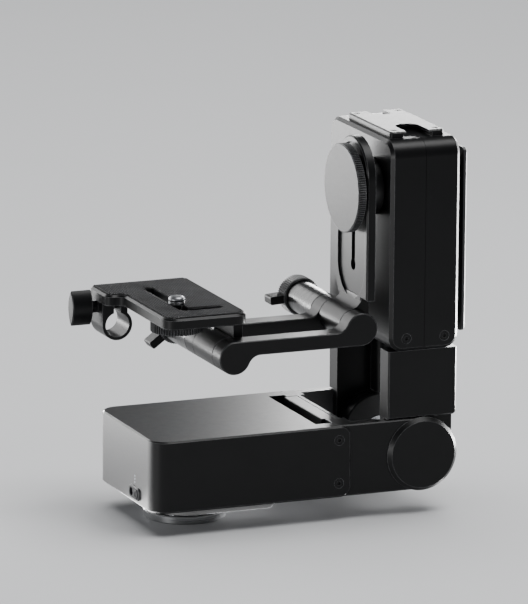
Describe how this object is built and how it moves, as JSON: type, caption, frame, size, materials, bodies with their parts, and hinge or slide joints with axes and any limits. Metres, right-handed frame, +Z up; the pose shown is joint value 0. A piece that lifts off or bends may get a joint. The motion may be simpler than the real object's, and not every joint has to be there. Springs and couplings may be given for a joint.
{
  "type": "motorised pan and tilt head",
  "caption": "Motorised pan and tilt camera head: flat base on a tripod disc, folding tower with a tilt hub, and a swing-arm camera cradle with a rod clamp.",
  "frame": {"origin": "on the pan axis, at the underside of the tripod disc", "axes": "+Z up along the pan axis, +X from the base to the tower, the front faces -Y"},
  "size_m": [0.2245, 0.1062, 0.2341],
  "materials": {
    "black_anodised": "satin black anodised",
    "machined_black": "satin black anodised, turned",
    "knurled_black": "knurled, black anodised",
    "black_steel": "black oxide",
    "bright_steel": "turned",
    "gear_steel": "cut",
    "motor_steel": "brushed",
    "spring_steel": "drawn wire",
    "pad_rubber": "fine ribbed",
    "black_plastic": "matte",
    "board": "lacquered",
    "contact_block": "matte",
    "light_lens": "frosted"
  },
  "bodies": {
    "mount": {"mount_disc": "machined_black", "disc_screws": "black_steel", "pan_spindle": "bright_steel", "pan_gear": "gear_steel", "spindle_nut": "bright_steel"},
    "base": {"pan_plateau": "black_anodised", "pan_bearing": "bright_steel", "base_upper_shell": "black_anodised", "base_lower_shell": "black_anodised", "shell_screws": "black_steel", "fork_frame": "black_anodised", "hinge_pin_front": "bright_steel", "hinge_pin_rear": "bright_steel", "hinge_cap_front": "black_anodised", "hinge_cap_rear": "black_anodised", "pan_motor_plate": "machined_black", "pan_motor": "motor_steel", "control_board": "board", "power_jack": "black_plastic", "status_lights": "light_lens"},
    "pan_drive": {"pan_pinion": "gear_steel"},
    "release": {"release_bar": "black_anodised", "release_springs": "spring_steel"},
    "button": {"power_button": "black_plastic"},
    "tower": {"tower_yoke": "black_anodised", "hinge_hub": "machined_black", "cable_cover": "black_anodised", "tower_left_shell": "black_anodised", "tower_right_shell": "black_anodised", "tower_screws": "black_steel", "accessory_rail": "black_anodised", "rail_screws": "black_steel", "battery_mount": "black_anodised", "battery_plate": "black_plastic", "battery_contacts": "contact_block", "tilt_motor_plate": "machined_black", "tilt_motor": "motor_steel", "tilt_bearing": "bright_steel"},
    "latch": {"battery_latch": "black_plastic"},
    "tilt_drive": {"tilt_pinion": "gear_steel"},
    "hub": {"tilt_hub": "machined_black", "tilt_gear": "gear_steel", "clamp_washer": "machined_black"},
    "knob": {"clamp_knob": "knurled_black", "clamp_bolt": "black_steel"},
    "bracket": {"bracket_plate": "black_anodised"},
    "arms": {"front_arm": "black_anodised", "rear_arm": "black_anodised", "upper_pivot_bolt": "black_steel", "lower_pivot_bolt": "black_steel", "upper_lock_sleeve": "machined_black", "lower_lock_sleeve": "machined_black"},
    "upper_lock": {"upper_lock_knob": "knurled_black"},
    "lower_lock": {"lower_lock_knob": "knurled_black"},
    "plate": {"camera_plate": "black_anodised", "plate_pad": "pad_rubber", "rod_clamp": "black_anodised"},
    "wing": {"clamp_wing_screw": "black_anodised"},
    "carriage": {"screw_carriage": "black_steel"},
    "screw": {"camera_screw": "knurled_black"}
  },
  "joints": [
    {"name": "pan", "type": "hinge", "parent": "mount", "child": "base", "pos_m": [0, 0, 0], "axis": [0, 0, 1], "continuous": true},
    {"name": "pan_drive", "type": "hinge", "parent": "base", "child": "pan_drive", "pos_m": [0.0284, 0, 0], "axis": [0, 0, 1], "continuous": true},
    {"name": "release", "type": "slide", "parent": "base", "child": "release", "axis": [-1, 0, 0], "range_m": [0, 0.003], "stiffness_N_per_m": 900},
    {"name": "power", "type": "slide", "parent": "base", "child": "button", "axis": [1, 0, 0], "range_m": [0, 0.001], "stiffness_N_per_m": 600},
    {"name": "fold", "type": "hinge", "parent": "base", "child": "tower", "pos_m": [0.1359, 0, 0.0367], "axis": [0, 1, 0], "range_deg": [0, 90]},
    {"name": "battery_release", "type": "slide", "parent": "tower", "child": "latch", "axis": [-1, 0, 0], "range_m": [0, 0.0025], "stiffness_N_per_m": 600},
    {"name": "tilt", "type": "hinge", "parent": "tower", "child": "hub", "pos_m": [0.11, -0.0203, 0.199], "axis": [1, 0, 0], "continuous": true},
    {"name": "tilt_drive", "type": "hinge", "parent": "tower", "child": "tilt_drive", "pos_m": [0.11, 0.0081, 0.199], "axis": [1, 0, 0], "continuous": true},
    {"name": "clamp", "type": "hinge", "parent": "hub", "child": "knob", "pos_m": [0.095, -0.0203, 0.199], "axis": [1, 0, 0], "continuous": true},
    {"name": "bracket_height", "type": "slide", "parent": "hub", "child": "bracket", "axis": [0, 0, 1], "range_m": [-0.006, 0.03]},
    {"name": "arm_swing", "type": "hinge", "parent": "bracket", "child": "arms", "pos_m": [0.0948, 0, 0.1175], "axis": [0, 1, 0], "range_deg": [-15, 70]},
    {"name": "upper_lock", "type": "hinge", "parent": "arms", "child": "upper_lock", "pos_m": [0.0948, 0.05, 0.1175], "axis": [0, 1, 0], "range_deg": [-30, 60]},
    {"name": "lower_lock", "type": "hinge", "parent": "arms", "child": "lower_lock", "pos_m": [0.0128, 0.05, 0.1065], "axis": [0, 1, 0], "range_deg": [-45, 45]},
    {"name": "plate_angle", "type": "hinge", "parent": "arms", "child": "plate", "pos_m": [0.0128, 0, 0.1065], "axis": [0, 1, 0], "range_deg": [-35, 30]},
    {"name": "rod_screw", "type": "hinge", "parent": "plate", "child": "wing", "pos_m": [-0.05, 0.047, 0.122], "axis": [1, 0, 0], "continuous": true},
    {"name": "screw_slide", "type": "slide", "parent": "plate", "child": "carriage", "axis": [0, 1, 0], "range_m": [-0.012, 0.036]},
    {"name": "camera_screw", "type": "hinge", "parent": "carriage", "child": "screw", "pos_m": [-0.0103, -0.0115, 0.12], "axis": [0, 0, 1], "continuous": true}
  ],
  "couplings": [
    {"joint": "pan_drive", "follows": "pan", "ratio": 3.7333},
    {"joint": "tilt_drive", "follows": "tilt", "ratio": -3.7333}
  ]
}
